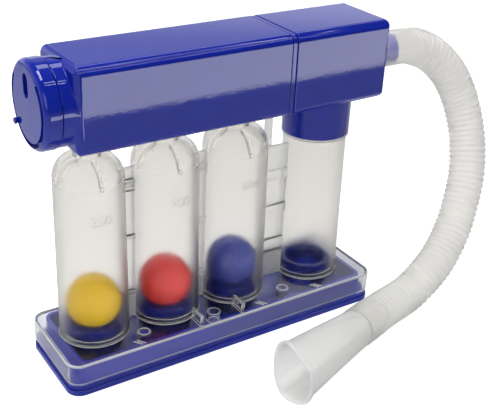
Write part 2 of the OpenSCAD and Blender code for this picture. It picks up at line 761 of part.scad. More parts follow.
module hose() color(milky) {
    outer = ring_points(outer_rings);
    inner = ring_points(bore_rings);
    outer_n = len(outer_rings);
    bore_n = len(bore_rings);
    polyhedron(concat(outer, inner), concat(
        skin(outer_n, hose_sides, 0),
        flipped(skin(bore_n, hose_sides, len(outer))),
        rim_faces(0, len(outer), hose_sides),
        flipped(rim_faces(len(outer) - hose_sides, len(outer) + len(inner) - hose_sides,
            hose_sides))));
}

// Puts what stands along Z on the mouthpiece's axis, a distance past the hose's end
module on_mouth_axis(past) {
    d = tangent(hose_l);
    translate(hose_route[last] + past * d)
        rotate([0, acos(d[2]), atan2(d[1], d[0])]) children();
}

module hose_mouth_cuff() color(milky)
    on_mouth_axis(0) difference() {
        cylinder(r = mouth_cuff_d / 2, h = mouth_cuff_l);
        translate([0, 0, -over]) cylinder(r = mouth_insert_r + slip, h = mouth_cuff_l + 2 * over);
    }

// One oval ring of the mouthpiece at a share of its length, grown or shrunk by a wall
function oval_ring(share, z, grow) = let (
    a = mouthpiece_d / 2 + (mouth_long_d - mouthpiece_d) / 2 * share + grow,
    b = mouthpiece_d / 2 + (mouth_short_d - mouthpiece_d) / 2 * share + grow,
    flat = mouthpiece_d / 2 + (mouth_flat - mouthpiece_d / 2) * share + grow,
    power = 1 - oval_fullness * share, facing = [cos(mouth_flat_turn), sin(mouth_flat_turn)])
    [for (k = [0 : mouthpiece_sides - 1])
        let (t = 360 * k / mouthpiece_sides, c = cos(t), s = sin(t),
            p = [a * sign(c) * pow(abs(c), power), b * sign(s) * pow(abs(s), power)],
            q = p - max(p * facing - flat, 0) * facing)
        [q[0], q[1], z]];

module mouthpiece() color(milky) {
    on_mouth_axis(mouth_cuff_l) {
        lip_share = 1 - lip_l / mouthpiece_l;
        outside = concat(
            [for (share = flare_shares) oval_ring(share, share * mouthpiece_l, 0)],
            [oval_ring(lip_share, lip_share * mouthpiece_l, 0),
                oval_ring(lip_share, (lip_share + 1) / 2 * mouthpiece_l, lip_out),
                oval_ring(1, mouthpiece_l, lip_out)]);
        inside = concat(
            [for (share = flare_shares) oval_ring(share, share * mouthpiece_l, -mouthpiece_t)],
            [oval_ring(1, mouthpiece_l, -mouthpiece_t)]);
        outer_n = len(outside);
        bore_n = len(inside);
        outer_count = outer_n * mouthpiece_sides;
        points = [for (ring = concat(outside, inside), p = ring) p];
        rotate([0, 0, mouth_turn])
            polyhedron(points, concat(
                skin(outer_n, mouthpiece_sides, 0),
                flipped(skin(bore_n, mouthpiece_sides, outer_count)),
                rim_faces(0, outer_count, mouthpiece_sides),
                flipped(rim_faces(outer_count - mouthpiece_sides,
                    len(points) - mouthpiece_sides, mouthpiece_sides))));
    }
    on_mouth_axis(mouth_cuff_l - insert_l) difference() {
        cylinder(r = mouth_insert_r, h = insert_l + over);
        translate([0, 0, -over]) cylinder(r = mouth_insert_r - insert_t, h = insert_l + 3 * over);
    }
}

base_tray();
manifold_cover();
column_left();
column_middle();
column_right();
down_column();
web_left();
web_middle();
web_right();
seat_left();
seat_middle();
seat_right();
down_spigot();
ball_yellow();
ball_red();
ball_blue();
duct_housing();
duct_divider();
port_housing();
regulator_cap();
shutter_disc();
shutter_retainer();
hose_port_cuff();
hose();
hose_mouth_cuff();
mouthpiece();
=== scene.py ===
"""Breathing trainer: the finish of its plastics, its ribbed hose, mouthpiece and small relief."""
import json
import math

import bmesh
import bpy
from mathutils import Matrix, Vector

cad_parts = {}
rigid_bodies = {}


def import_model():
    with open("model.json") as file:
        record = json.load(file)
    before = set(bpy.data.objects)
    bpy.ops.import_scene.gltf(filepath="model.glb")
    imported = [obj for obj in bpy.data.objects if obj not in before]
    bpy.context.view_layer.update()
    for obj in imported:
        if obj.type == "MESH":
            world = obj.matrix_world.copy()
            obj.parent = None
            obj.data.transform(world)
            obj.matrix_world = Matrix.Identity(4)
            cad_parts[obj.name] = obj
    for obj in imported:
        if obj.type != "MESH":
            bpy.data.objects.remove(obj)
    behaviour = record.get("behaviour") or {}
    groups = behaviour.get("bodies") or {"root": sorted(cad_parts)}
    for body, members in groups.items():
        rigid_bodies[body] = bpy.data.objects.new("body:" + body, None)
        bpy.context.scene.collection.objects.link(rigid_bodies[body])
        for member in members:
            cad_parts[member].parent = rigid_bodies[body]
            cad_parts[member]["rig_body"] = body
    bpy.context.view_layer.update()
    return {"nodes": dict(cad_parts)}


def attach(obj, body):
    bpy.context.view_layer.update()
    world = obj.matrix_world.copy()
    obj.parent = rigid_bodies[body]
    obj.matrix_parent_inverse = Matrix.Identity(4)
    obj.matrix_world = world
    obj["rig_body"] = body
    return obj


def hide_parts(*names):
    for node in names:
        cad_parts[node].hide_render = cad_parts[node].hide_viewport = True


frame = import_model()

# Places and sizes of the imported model, in metres
MM = 0.001
COLUMN_X = {"left": -0.064, "middle": -0.026, "right": 0.012}
COLUMN_RADIUS = 0.0165
COLUMN_DRAFT = 0.0006
COLUMN_FOOT = 0.0165
COLUMN_HEIGHT = 0.08
DOWN_X = 0.0594
DOME_POLISH = (0.0945, 0.0965)
NUMBER_HEIGHT = 0.0815
NUMBER_SIZE = 0.0068
NUMBER_STRIP = 0.0008
BALL_RADIUS = 0.013
BALL_HEIGHT = 0.03247
BALL_TILT = math.radians(35)
PARTING_LINE = 0.00004
COVER_REACH = (0.0867, 0.0252)
COVER_CORNER = 0.007
COVER_POLISH = (0.0162, 0.01645)
WELD_OUTLINE = ((0.0164, 0.0), (0.01685, 0.0), (0.0168, 0.0002), (0.0166, 0.00035),
                (0.0164, 0.0004))
DUCT_END_X = (-0.07625, 0.0867)
DUCT_HALF_DEPTH = 0.01945
DUCT_HALF_HEIGHT = 0.0195
DUCT_MIDDLE = 0.1337
DUCT_CORNER = Vector((0.0032, 0.004, 0.004))
CAP_REAR_X = -0.08135
JOINT_X = (0.02845, 0.03135)
SPIGOT_START = Vector((0.0872, 0.0, 0.1317))
HOSE_LINE_MM = (
    (103.3, 0, 131.7), (108.2, 0, 131.7), (113.2, 0, 131.4), (118.2, 0, 130.6),
    (123.2, -0.3, 129.1), (128.3, -1.5, 126.8), (132.8, -3.2, 123.6), (138.3, -6, 118.1),
    (142.9, -8.8, 111), (146.3, -12.3, 102), (147.6, -16.5, 92.5), (147.3, -21, 83),
    (145.3, -25.6, 73), (141.3, -30.5, 62.3), (135.3, -35, 51.5), (128.3, -39, 41),
    (120.3, -42.3, 32), (111.3, -45, 24.6), (102.7, -46.4, 19.1), (95.9, -46.9, 14.8),
    (89.3, -47.6, 12.6), (82.1, -49.2, 12.42), (75.5, -50.9, 12.65), (69.3, -52.75, 12.9),
    (63.3, -54.7, 13.19))
HOSE_STEPS = 8
RIB_PITCH = 0.003
SMOOTH_LENGTH = 0.015
END_REACH = 0.012
CUFF_LENGTH = 0.016
CUFF_BORE = 0.00875
MOUTHPIECE_LENGTH = 0.0525
MOUTHPIECE_WALL = 0.0012
MOUTHPIECE_INSERT = 0.012
INSERT_STEP = 0.0009
CUFF_END_RADIUS = 0.0096
LIP_LONG_RADIUS = 0.01525
LIP_SHORT_RADIUS = 0.0105
LIP_FLAT_AT = math.radians(142)
LIP_RIDGE_AT = math.radians(298)
LIP_TURN = math.radians(6)
LIP_RIDGE_HEIGHT = 0.0005
LIP_RIDGE_REACH = 0.0008
MOUTHPIECE_SIDES = 192

# How much each kind of edge is rounded, and how near a point counts as on a face
SOFT_EDGE = 0.0003
FINE_EDGE = 0.0002
THIN_EDGE = 0.00015
WEB_EDGE = 0.00012
COVER_RIM = 0.0006
NEAR = 0.00002
ON_FACE = 0.00003
JOIN_DISTANCE = 2e-6

# Sockets of a Mix node that is set to colours
COLOUR_A = 6
COLOUR_B = 7
COLOUR_RESULT = 2


# Camera, light and floor

def place_camera():
    """Stands the camera where the photograph was taken from."""
    right = Vector((0.84230143, -0.53758496, 0.03912423))
    up = Vector((0.21678644, 0.40433294, 0.88854854))
    back = Vector((-0.49348955, -0.73994411, 0.45711135))
    lens = bpy.data.cameras.new("photo_camera")
    lens.sensor_fit = "HORIZONTAL"
    lens.sensor_width = 36
    lens.lens = 67.37
    lens.clip_start = 0.01
    camera = bpy.data.objects.new("photo_camera", lens)
    turn = Matrix((right, up, back)).transposed().to_4x4()
    camera.matrix_world = Matrix.Translation((-0.2069998, -0.3390007, 0.2719969)) @ turn
    bpy.context.scene.collection.objects.link(camera)
    bpy.context.scene.camera = camera


def softbox(name, place, aim, width, height, watts):
    """Hangs one soft rectangular lamp that faces a point, out of the picture itself."""
    lamp = bpy.data.lights.new(name, "AREA")
    lamp.shape = "RECTANGLE"
    lamp.size = width
    lamp.size_y = height
    lamp.energy = watts
    hung = bpy.data.objects.new(name, lamp)
    facing = (Vector(aim) - Vector(place)).to_track_quat("-Z", "Y")
    hung.matrix_world = Matrix.Translation(place) @ facing.to_matrix().to_4x4()
    hung.visible_camera = False
    bpy.context.scene.collection.objects.link(hung)
    return hung


def slope(tree, value, low, high, start, end):
    """Adds one smooth step of a value between two levels, and returns its result."""
    made = add(tree, "ShaderNodeMapRange", interpolation_type="SMOOTHSTEP")
    tree.links.new(value, made.inputs["Value"])
    for socket, setting in (("From Min", low), ("From Max", high), ("To Min", start),
                            ("To Max", end)):
        made.inputs[socket].default_value = setting
    return made.outputs["Result"]


def paint_the_room():
    """White walls behind, a dim ceiling and front, and white all round what is seen through."""
    world = bpy.data.worlds.new("studio")
    world.use_nodes = True
    tree = world.node_tree
    background = tree.nodes["Background"]
    background.inputs["Color"].default_value = (1.0, 1.0, 1.0, 1.0)
    place = add(tree, "ShaderNodeTexCoord")
    direction = add(tree, "ShaderNodeSeparateXYZ")
    tree.links.new(place.outputs["Generated"], direction.inputs[0])
    middle = slope(tree, direction.outputs["Z"], 0.25, 0.3, 1.1, 0.55)
    ceiling = slope(tree, direction.outputs["Z"], 0.57, 0.75, 1.0, 0.2)
    height = calculate(tree, "MULTIPLY", middle, ceiling)
    depth = slope(tree, direction.outputs["Y"], -0.5, 0.1, 0.12, 1.0)
    light = add(tree, "ShaderNodeMix", data_type="FLOAT")
    path = add(tree, "ShaderNodeLightPath").outputs
    mirrored = calculate(tree, "GREATER_THAN", path["Glossy Depth"], 0.5)
    share = calculate(tree, "MULTIPLY_ADD", mirrored, -0.35, 1.0)
    through = calculate(tree, "MULTIPLY", path["Is Transmission Ray"], share)
    tree.links.new(calculate(tree, "MAXIMUM", through, path["Is Camera Ray"]),
                   light.inputs["Factor"])
    tree.links.new(calculate(tree, "MULTIPLY", height, depth), light.inputs["A"])
    light.inputs["B"].default_value = 1.3
    tree.links.new(light.outputs["Result"], background.inputs["Strength"])
    bpy.context.scene.world = world
    bpy.context.scene.view_settings.view_transform = "Standard"


def light_the_room():
    """Large lamps that the gloss doesn't mirror, and cards and strips that only it shows."""
    softbox("overhead_softbox", (-0.1, 0.0, 0.95), (-0.1, 0.0, 0.0), 0.4, 0.4, 6.0)
    softbox("front_left_softbox", (-0.6, -0.65, 0.45), (0.0, 0.0, 0.07), 0.5, 0.5, 1.5)
    mirrored = [
        softbox("front_card", (0.28, -0.317, 0.0295), (0.28, 0.0, 0.0295), 0.66, 0.057, 0.57),
        softbox("front_strip", (0.36, -0.355, 0.8), (0.36, -0.355, 0.0), 0.5, 0.03, 0.38),
        softbox("middle_strip", (0.36, -0.26, 0.8), (0.36, -0.26, 0.0), 0.5, 0.03, 0.38),
        softbox("rear_panel", (0.4, 0.34, 0.8), (0.4, 0.34, 0.0), 0.6, 0.2, 1.5)]
    for card in mirrored:
        card.visible_diffuse = False


def lay_floor():
    """Pale paper under the trainer."""
    sheet = bpy.data.meshes.new("floor")
    reach = 3.0
    corners = [(-reach, -reach, 0), (reach, -reach, 0), (reach, reach, 0), (-reach, reach, 0)]
    sheet.from_pydata(corners, [], [(0, 1, 2, 3)])
    sheet.materials.append(pale_paper())
    floor = bpy.data.objects.new("floor", sheet)
    bpy.context.scene.collection.objects.link(floor)


# Shared node work

def add(tree, kind, **settings):
    """Adds one node with its settings."""
    made = tree.nodes.new(kind)
    for name, value in settings.items():
        setattr(made, name, value)
    return made


def calculate(tree, operation, *values):
    """Adds one Math node fed by sockets or plain numbers, and returns its result."""
    made = add(tree, "ShaderNodeMath", operation=operation)
    for place, value in enumerate(values):
        if isinstance(value, (int, float)):
            made.inputs[place].default_value = value
        else:
            tree.links.new(value, made.inputs[place])
    return made.outputs[0]


def node_group(name, kind, inputs, outputs):
    """Starts a node group with named sockets, and returns it with its two end nodes."""
    group = bpy.data.node_groups.new(name, kind)
    for label, socket_type, start in inputs:
        socket = group.interface.new_socket(label, in_out="INPUT", socket_type=socket_type)
        if start is not None:
            socket.default_value = start
    for label, socket_type in outputs:
        group.interface.new_socket(label, in_out="OUTPUT", socket_type=socket_type)
    return group, group.nodes.new("NodeGroupInput"), group.nodes.new("NodeGroupOutput")


def moulded_skin_group():
    """Cloudy colour, handling marks and fine grain of an injection-moulded surface."""
    group, given, result = node_group(
        "moulded_skin", "ShaderNodeTree",
        (("Colour", "NodeSocketColor", (0.5, 0.5, 0.5, 1.0)),
         ("Cloud Size", "NodeSocketFloat", 60.0),
         ("Cloud Depth", "NodeSocketFloat", 0.1),
         ("Roughness", "NodeSocketFloat", 0.2),
         ("Roughness Spread", "NodeSocketFloat", 0.1)),
        (("Colour", "NodeSocketColor"), ("Roughness", "NodeSocketFloat"),
         ("Height", "NodeSocketFloat")))
    place = add(group, "ShaderNodeTexCoord")
    clouds = add(group, "ShaderNodeTexNoise")
    clouds.inputs["Detail"].default_value = 3.0
    marks = add(group, "ShaderNodeTexNoise")
    marks.inputs["Detail"].default_value = 4.0
    grain = add(group, "ShaderNodeTexNoise")
    grain.inputs["Detail"].default_value = 2.0
    for texture in (clouds, marks, grain):
        group.links.new(place.outputs["Object"], texture.inputs["Vector"])
    size = given.outputs["Cloud Size"]
    group.links.new(size, clouds.inputs["Scale"])
    group.links.new(calculate(group, "MULTIPLY", size, 3.0), marks.inputs["Scale"])
    group.links.new(calculate(group, "MULTIPLY", size, 9.0), grain.inputs["Scale"])
    lift = calculate(group, "SUBTRACT", clouds.outputs["Fac"], 0.5)
    shade = calculate(group, "MULTIPLY_ADD", lift, given.outputs["Cloud Depth"], 1.0)
    tint = add(group, "ShaderNodeVectorMath", operation="SCALE")
    group.links.new(given.outputs["Colour"], tint.inputs[0])
    group.links.new(shade, tint.inputs["Scale"])
    group.links.new(tint.outputs[0], result.inputs["Colour"])
    spread = calculate(group, "SUBTRACT", marks.outputs["Fac"], 0.5)
    rough = calculate(group, "MULTIPLY_ADD", spread, given.outputs["Roughness Spread"],
                      given.outputs["Roughness"])
    group.links.new(rough, result.inputs["Roughness"])
    group.links.new(grain.outputs["Fac"], result.inputs["Height"])
    return group


def settled_dust_group():
    """Thin pale dust that lies on whatever faces up."""
    group, given, result = node_group(
        "settled_dust", "ShaderNodeTree",
        (("Colour", "NodeSocketColor", (0.5, 0.5, 0.5, 1.0)),
         ("Dust", "NodeSocketFloat", 0.04)),
        (("Colour", "NodeSocketColor"),))
    place = add(group, "ShaderNodeTexCoord")
    specks = add(group, "ShaderNodeTexNoise")
    specks.inputs["Scale"].default_value = 450.0
    specks.inputs["Detail"].default_value = 5.0
    group.links.new(place.outputs["Object"], specks.inputs["Vector"])
    surface = add(group, "ShaderNodeNewGeometry")
    facing = add(group, "ShaderNodeSeparateXYZ")
    group.links.new(surface.outputs["Normal"], facing.inputs[0])
    upward = calculate(group, "MAXIMUM", facing.outputs["Z"], 0.0)
    most = calculate(group, "MULTIPLY", upward, given.outputs["Dust"])
    amount = calculate(group, "MULTIPLY", most, specks.outputs["Fac"])
    blend = add(group, "ShaderNodeMix", data_type="RGBA")
    group.links.new(amount, blend.inputs["Factor"])
    group.links.new(given.outputs["Colour"], blend.inputs[COLOUR_A])
    blend.inputs[COLOUR_B].default_value = (0.72, 0.71, 0.69, 1.0)
    group.links.new(blend.outputs[COLOUR_RESULT], result.inputs["Colour"])
    return group


def moulded_plastic(name, colour, roughness, spread, cloud, bump, dust, fixed):
    """A plastic with the moulded skin and dust groups, and what is the same all over it."""
    material = bpy.data.materials.new(name)
    material.use_nodes = True
    tree = material.node_tree
    shader = tree.nodes["Principled BSDF"]
    for socket, value in fixed.items():
        shader.inputs[socket].default_value = value
    skin = add(tree, "ShaderNodeGroup", node_tree=SKIN)
    skin.inputs["Colour"].default_value = (*colour, 1.0)
    skin.inputs["Roughness"].default_value = roughness
    skin.inputs["Roughness Spread"].default_value = spread
    skin.inputs["Cloud Size"].default_value = cloud[0]
    skin.inputs["Cloud Depth"].default_value = cloud[1]
    settled = add(tree, "ShaderNodeGroup", node_tree=DUST)
    settled.inputs["Dust"].default_value = dust
    relief = add(tree, "ShaderNodeBump")
    relief.inputs["Strength"].default_value = bump[0]
    relief.inputs["Distance"].default_value = bump[1]
    tree.links.new(skin.outputs["Colour"], settled.inputs["Colour"])
    tree.links.new(settled.outputs["Colour"], shader.inputs["Base Color"])
    tree.links.new(skin.outputs["Roughness"], shader.inputs["Roughness"])
    tree.links.new(skin.outputs["Height"], relief.inputs["Height"])
    tree.links.new(relief.outputs["Normal"], shader.inputs["Normal"])
    return material


def change_gloss(material, heights, share):
    """Multiplies a plastic's roughness by a share above a slope between two heights."""
    tree = material.node_tree
    rough = tree.nodes["Principled BSDF"].inputs["Roughness"]
    below = rough.links[0].from_socket
    height = add(tree, "ShaderNodeSeparateXYZ")
    tree.links.new(add(tree, "ShaderNodeTexCoord").outputs["Object"], height.inputs[0])
    level = slope(tree, height.outputs["Z"], *heights, 1.0, share)
    tree.links.new(calculate(tree, "MULTIPLY", below, level), rough)
    return material


# Materials

def blue_gloss():
    """Ultramarine gloss plastic of the tray, duct and regulator."""
    return moulded_plastic(
        "ultramarine_gloss_plastic", (0.003, 0.017, 0.36), roughness=0.035, spread=0.02,
        cloud=(70.0, 0.2), bump=(0.05, 0.0002), dust=0.02, fixed={"IOR": 1.45})


def clear_cover():
    """Clear plastic of the cover: a hazy shell, polished only on its top and what stands on it."""
    material = moulded_plastic(
        "clear_cover_plastic", (0.98, 0.98, 1.0), roughness=0.21, spread=0.03,
        cloud=(40.0, 0.04), bump=(0.05, 0.0001), dust=0.02,
        fixed={"IOR": 1.45, "Transmission Weight": 1.0})
    return change_gloss(material, COVER_POLISH, 0.15)


def painted_shade_blue():
    """The tray's blue darkened to paint the shade of the columns on the seats and the down
    column's foot.
    """
    return moulded_plastic(
        "painted_shade_blue_plastic", (0.006, 0.01, 0.15), roughness=0.12, spread=0.04,
        cloud=(70.0, 0.2), bump=(0.05, 0.0002), dust=0.0, fixed={"IOR": 1.45})


def ladder_webs():
    """Thin hazy plastic of the ladder webs, which shows each rung as a soft line."""
    return moulded_plastic(
        "hazy_web_plastic", (0.93, 0.925, 0.905), roughness=0.32, spread=0.04,
        cloud=(40.0, 0.04), bump=(0.05, 0.0001), dust=0.0,
        fixed={"IOR": 1.2, "Transmission Weight": 0.75})


def painted_highlight_edges():
    """Edges, welds and lip of the clear plastic, made paler and less clear than it to paint
    highlight lines along them.
    """
    return moulded_plastic(
        "painted_highlight_edge_plastic", (0.95, 0.948, 0.952), roughness=0.32, spread=0.02,
        cloud=(40.0, 0.02), bump=(0.05, 0.0001), dust=0.0,
        fixed={"IOR": 1.3, "Transmission Weight": 0.35})


def frosted_columns():
    """Clear plastic of the four columns, frosted below the domes so that it blurs the balls."""
    material = moulded_plastic(
        "frosted_column_plastic", (0.93, 0.92, 0.895), roughness=0.31, spread=0.02,
        cloud=(50.0, 0.02), bump=(0.05, 0.0001), dust=0.0,
        fixed={"IOR": 1.2, "Transmission Weight": 1.0})
    return change_gloss(material, DOME_POLISH, 0.78)


def milky_hose():
    """Soft milky plastic of the hose and its cuffs."""
    return moulded_plastic(
        "milky_hose_plastic", (0.97, 0.962, 0.94), roughness=0.31, spread=0.02,
        cloud=(60.0, 0.04), bump=(0.08, 0.0002), dust=0.0,
        fixed={"IOR": 1.3, "Transmission Weight": 0.86})


def milky_mouthpiece():
    """Stiffer milky plastic of the mouthpiece."""
    return moulded_plastic(
        "milky_mouthpiece_plastic", (0.945, 0.942, 0.93), roughness=0.31, spread=0.02,
        cloud=(60.0, 0.03), bump=(0.06, 0.0002), dust=0.0,
        fixed={"IOR": 1.25, "Transmission Weight": 0.66})


def ball_plastic(name, colour):
    """Coloured light plastic of a ball."""
    return moulded_plastic(
        name, colour, roughness=0.4, spread=0.1, cloud=(90.0, 0.08), bump=(0.15, 0.0002),
        dust=0.0, fixed={"IOR": 1.5, "Subsurface Weight": 0.05, "Subsurface Scale": 0.002})


def pale_paper():
    """White seamless paper."""
    material = bpy.data.materials.new("pale_paper")
    material.use_nodes = True
    tree = material.node_tree
    shader = tree.nodes["Principled BSDF"]
    fibres = add(tree, "ShaderNodeTexNoise")
    fibres.inputs["Scale"].default_value = 900.0
    tone = add(tree, "ShaderNodeMix", data_type="RGBA")
    tone.inputs[COLOUR_A].default_value = (0.9, 0.9, 0.9, 1.0)
    tone.inputs[COLOUR_B].default_value = (0.94, 0.94, 0.94, 1.0)
    tree.links.new(fibres.outputs["Fac"], tone.inputs["Factor"])
    tree.links.new(tone.outputs[COLOUR_RESULT], shader.inputs["Base Color"])
    shader.inputs["Roughness"].default_value = 0.9
    shader.inputs["Specular IOR Level"].default_value = 0.1
    shader.inputs["Emission Color"].default_value = (1.0, 1.0, 1.0, 1.0)
    seen = add(tree, "ShaderNodeLightPath").outputs["Is Camera Ray"]
    tree.links.new(calculate(tree, "MULTIPLY_ADD", seen, 0.6, 0.1),
                   shader.inputs["Emission Strength"])
    return material


# Pieces

def piece(name, mesh, body, nodes):
    """Links a finished mesh, and lets it ride on a body and stand for CAD nodes."""
    made = bpy.data.objects.new(name, mesh)
    bpy.context.scene.collection.objects.link(made)
    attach(made, body)
    if nodes:
        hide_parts(*nodes)
    return made


def on_cover_rim(place):
    """Whether a point lies on the outer edge of the cover's top."""
    across = abs(place.x) - COVER_REACH[0]
    back = abs(place.y) - COVER_REACH[1]
    corner = Vector((across + COVER_CORNER, back + COVER_CORNER))
    turned = min(corner) > 0 and corner.length > COVER_CORNER - 0.0002
    return abs(place.z - COLUMN_FOOT) < NEAR and (max(across, back) > 0 or turned)


def round_cover_rim(skin):
    """Rounds the outer edge of the cover's top further than its other edges, in the pale material
    that paints a highlight line along it.
    """
    rim = [edge for edge in skin.edges if all(on_cover_rim(vert.co) for vert in edge.verts)]
    made = bmesh.ops.bevel(skin, geom=rim, offset=COVER_RIM, offset_type="OFFSET", segments=5,
                           profile=0.5, affect="EDGES")
    for face in made["faces"]:
        face.material_index = 1


def open_groove(made, face_x, shift):
    """Moves one end face of a piece along X, so that a fine dark groove shows beside it."""
    for vert in made.data.vertices:
        if abs(vert.co.x - face_x) < ON_FACE:
            vert.co.x += shift


def soften_corners(made, end_x, outward):
    """Pulls the end corners of the duct's block in to a ball shape, and leaves its flats."""
    for vert in made.data.vertices:
        past = DUCT_CORNER + Vector((outward * (vert.co.x - end_x),
                                     abs(vert.co.y) - DUCT_HALF_DEPTH,
                                     abs(vert.co.z - DUCT_MIDDLE) - DUCT_HALF_HEIGHT))
        share = Vector(part / whole for part, whole in zip(past, DUCT_CORNER))
        if min(past) > NEAR and max(share) < 0.99 and share.length > 1:
            pull = past * (1 / share.length - 1)
            vert.co.x += outward * pull.x
            vert.co.y += pull.y * math.copysign(1, vert.co.y)
            vert.co.z += pull.z * math.copysign(1, vert.co.z - DUCT_MIDDLE)


def joined_skin(solid):
    """A copy of a CAD solid's loose triangles, joined into whole faces."""
    copy = solid.data.copy()
    if "custom_normal" in copy.attributes:
        copy.attributes.remove(copy.attributes["custom_normal"])
    skin = bmesh.new()
    skin.from_mesh(copy)
    bmesh.ops.remove_doubles(skin, verts=skin.verts, dist=JOIN_DISTANCE)
    bmesh.ops.dissolve_limit(skin, angle_limit=math.radians(0.5), verts=skin.verts,
                             edges=skin.edges)
    bpy.data.meshes.remove(copy)
    return skin


def round_edges(made, width, edge):
    """Rounds a piece's sharp edges; where there is an edge material, the rounding takes it and
    shows a painted highlight line.
    """
    rounding = made.modifiers.new("rounded_edges", "BEVEL")
    rounding.width = width
    rounding.segments = 3
    rounding.limit_method = "ANGLE"
    rounding.angle_limit = math.radians(40)
    rounding.harden_normals = True
    rounding.use_clamp_overlap = False
    rounding.material = 1 if edge else -1
    flats = made.modifiers.new("flat_faces", "WEIGHTED_NORMAL")
    flats.keep_sharp = True


def rounded_copy(name, node, material, width, edge=None, shape=None):
    """A piece that stands for a CAD solid, shaped a little further and with rounded edges."""
    solid = frame["nodes"][node]
    skin = joined_skin(solid)
    if shape:
        shape(skin)
    mesh = bpy.data.meshes.new(name)
    skin.to_mesh(mesh)
    skin.free()
    mesh.materials.append(material)
    if edge:
        mesh.materials.append(edge)
    mesh.polygons.foreach_set("use_smooth", [True] * len(mesh.polygons))
    mesh.set_sharp_from_angle(angle=math.radians(30))
    made = piece(name, mesh, solid["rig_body"], (node,))
    if width:
        round_edges(made, width, edge)
    return made


def bent(before, start, end, after, share):
    """A point of the smooth line through four route points, between the middle two."""
    square = share * share
    return (2 * start + (end - before) * share
            + (2 * before - 5 * start + 4 * end - after) * square
            + (3 * start - before - 3 * end + after) * square * share) / 2


def hose_line():
    """The middle line of the hose through its route points."""
    route = [Vector(point) * MM for point in HOSE_LINE_MM]
    last = len(route) - 1
    line = []
    for i in range(last):
        for k in range(HOSE_STEPS):
            line.append(bent(route[max(i - 1, 0)], route[i], route[i + 1],
                             route[min(i + 2, last)], k / HOSE_STEPS))
    return line + [route[last]]


def ribbed_tube_tree():
    """Node tree that gives a line its walls: a smooth end, a swelling, ribs, and a bore."""
    tree, given, result = node_group(
        "ribbed_tube", "GeometryNodeTree",
        (("Line", "NodeSocketGeometry", None),
         ("Step", "NodeSocketFloat", 0.0004),
         ("Sides", "NodeSocketInt", 48),
         ("Root Radius", "NodeSocketFloat", 0.009),
         ("Rib Height", "NodeSocketFloat", 0.0008),
         ("Rib Pitch", "NodeSocketFloat", 0.003),
         ("Rib Start", "NodeSocketFloat", 0.03),
         ("Swelling", "NodeSocketFloat", 0.0005),
         ("Bore Radius", "NodeSocketFloat", 0.00805),
         ("Material", "NodeSocketMaterial", None)),
        (("Hose", "NodeSocketGeometry"),))
    value = given.outputs
    along = add(tree, "GeometryNodeSplineParameter").outputs["Length"]
    past = calculate(tree, "SUBTRACT", along, value["Rib Start"])
    turns = calculate(tree, "DIVIDE", past, value["Rib Pitch"])
    wave = calculate(tree, "COSINE", calculate(tree, "MULTIPLY", turns, 2 * math.pi))
    rise = calculate(tree, "POWER", calculate(tree, "MULTIPLY_ADD", wave, -0.5, 0.5), 0.8)
    swells = calculate(tree, "GREATER_THAN", turns, -1.0)
    ribs = calculate(tree, "GREATER_THAN", turns, 0.0)
    extra = calculate(tree, "SUBTRACT", value["Rib Height"], value["Swelling"])
    height = calculate(tree, "MULTIPLY", swells,
                       calculate(tree, "MULTIPLY_ADD", ribs, extra, value["Swelling"]))
    radius = calculate(tree, "MULTIPLY_ADD", height, rise, value["Root Radius"])
    fine = add(tree, "GeometryNodeResampleCurve", mode="LENGTH")
    tree.links.new(value["Line"], fine.inputs["Curve"])
    tree.links.new(value["Step"], fine.inputs["Length"])
    ring = add(tree, "GeometryNodeCurvePrimitiveCircle")
    tree.links.new(value["Sides"], ring.inputs["Resolution"])
    walls = add(tree, "GeometryNodeJoinGeometry")
    for scale, inside in ((radius, False), (value["Bore Radius"], True)):
        wall = add(tree, "GeometryNodeCurveToMesh")
        tree.links.new(fine.outputs[0], wall.inputs["Curve"])
        tree.links.new(ring.outputs["Curve"], wall.inputs["Profile Curve"])
        tree.links.new(scale, wall.inputs["Scale"])
        skin = wall.outputs[0]
        if inside:
            turned = add(tree, "GeometryNodeFlipFaces")
            tree.links.new(skin, turned.inputs["Mesh"])
            skin = turned.outputs[0]
        tree.links.new(skin, walls.inputs[0])
    smooth = add(tree, "GeometryNodeSetShadeSmooth")
    real = add(tree, "GeometryNodeRealizeInstances")
    coat = add(tree, "GeometryNodeSetMaterial")
    tree.links.new(walls.outputs[0], smooth.inputs["Geometry"])
    tree.links.new(smooth.outputs[0], real.inputs[0])
    tree.links.new(real.outputs[0], coat.inputs["Geometry"])
    tree.links.new(value["Material"], coat.inputs["Material"])
    tree.links.new(coat.outputs[0], result.inputs[0])
    return tree


def grown(name, source, tree, sizes):
    """The plain mesh that a node tree makes of an object, with the tree's named sizes set."""
    bpy.context.scene.collection.objects.link(source)
    modifier = source.modifiers.new(tree.name, "NODES")
    modifier.node_group = tree
    sockets = {item.name: item.identifier for item in tree.interface.items_tree
               if item.in_out == "INPUT"}
    for label, value in sizes.items():
        modifier[sockets[label]] = value
    bpy.context.view_layer.update()
    ready = source.evaluated_get(bpy.context.evaluated_depsgraph_get())
    mesh = bpy.data.meshes.new_from_object(ready)
    mesh.name = name
    bpy.data.objects.remove(source)
    return mesh


def close_ends(mesh, ends):
    """Joins a tube's outer and inner walls at each of its ends."""
    skin = bmesh.new()
    skin.from_mesh(mesh)
    rims = [edge for edge in skin.edges if edge.is_boundary]
    for end in ends:
        near = [edge for edge in rims if (edge.verts[0].co - end).length < END_REACH]
        bmesh.ops.bridge_loops(skin, edges=near)
    bmesh.ops.recalc_face_normals(skin, faces=skin.faces)
    skin.to_mesh(mesh)
    skin.free()


